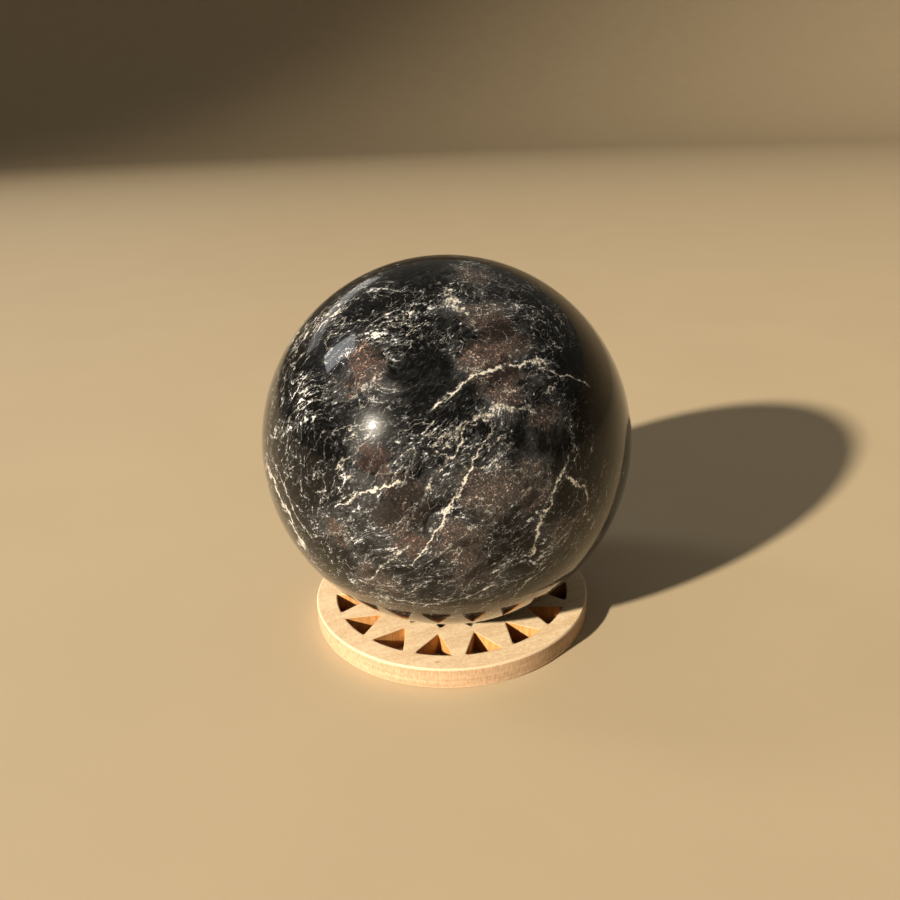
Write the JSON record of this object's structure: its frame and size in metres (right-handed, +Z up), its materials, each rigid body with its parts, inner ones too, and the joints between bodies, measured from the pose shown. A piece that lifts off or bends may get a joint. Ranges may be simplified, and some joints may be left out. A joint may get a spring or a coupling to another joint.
{
  "type": "crystal ball",
  "caption": "Polished ball of dark veined stone resting in the star-shaped opening of a flat round wooden stand with a ring of triangular cut-outs",
  "frame": {"origin": "centre of the stand's underside, on the surface that the object stands on", "axes": "+Z up along the axis of the stand and the ball, front towards -Y"},
  "size_m": [0.075, 0.075, 0.0771],
  "materials": {
    "stone": "polished opaque dark stone with white veins and reddish-brown patches",
    "wood": "sanded pale bare wood, browned on the cut walls"
  },
  "bodies": {
    "stand": {"wooden_stand": "wood"},
    "ball": {"stone_ball": "stone"}
  },
  "joints": [
    {"name": "ball_lift", "type": "slide", "parent": "stand", "child": "ball", "axis": [0, 0, 1], "range_m": [0, 0.04]}
  ]
}
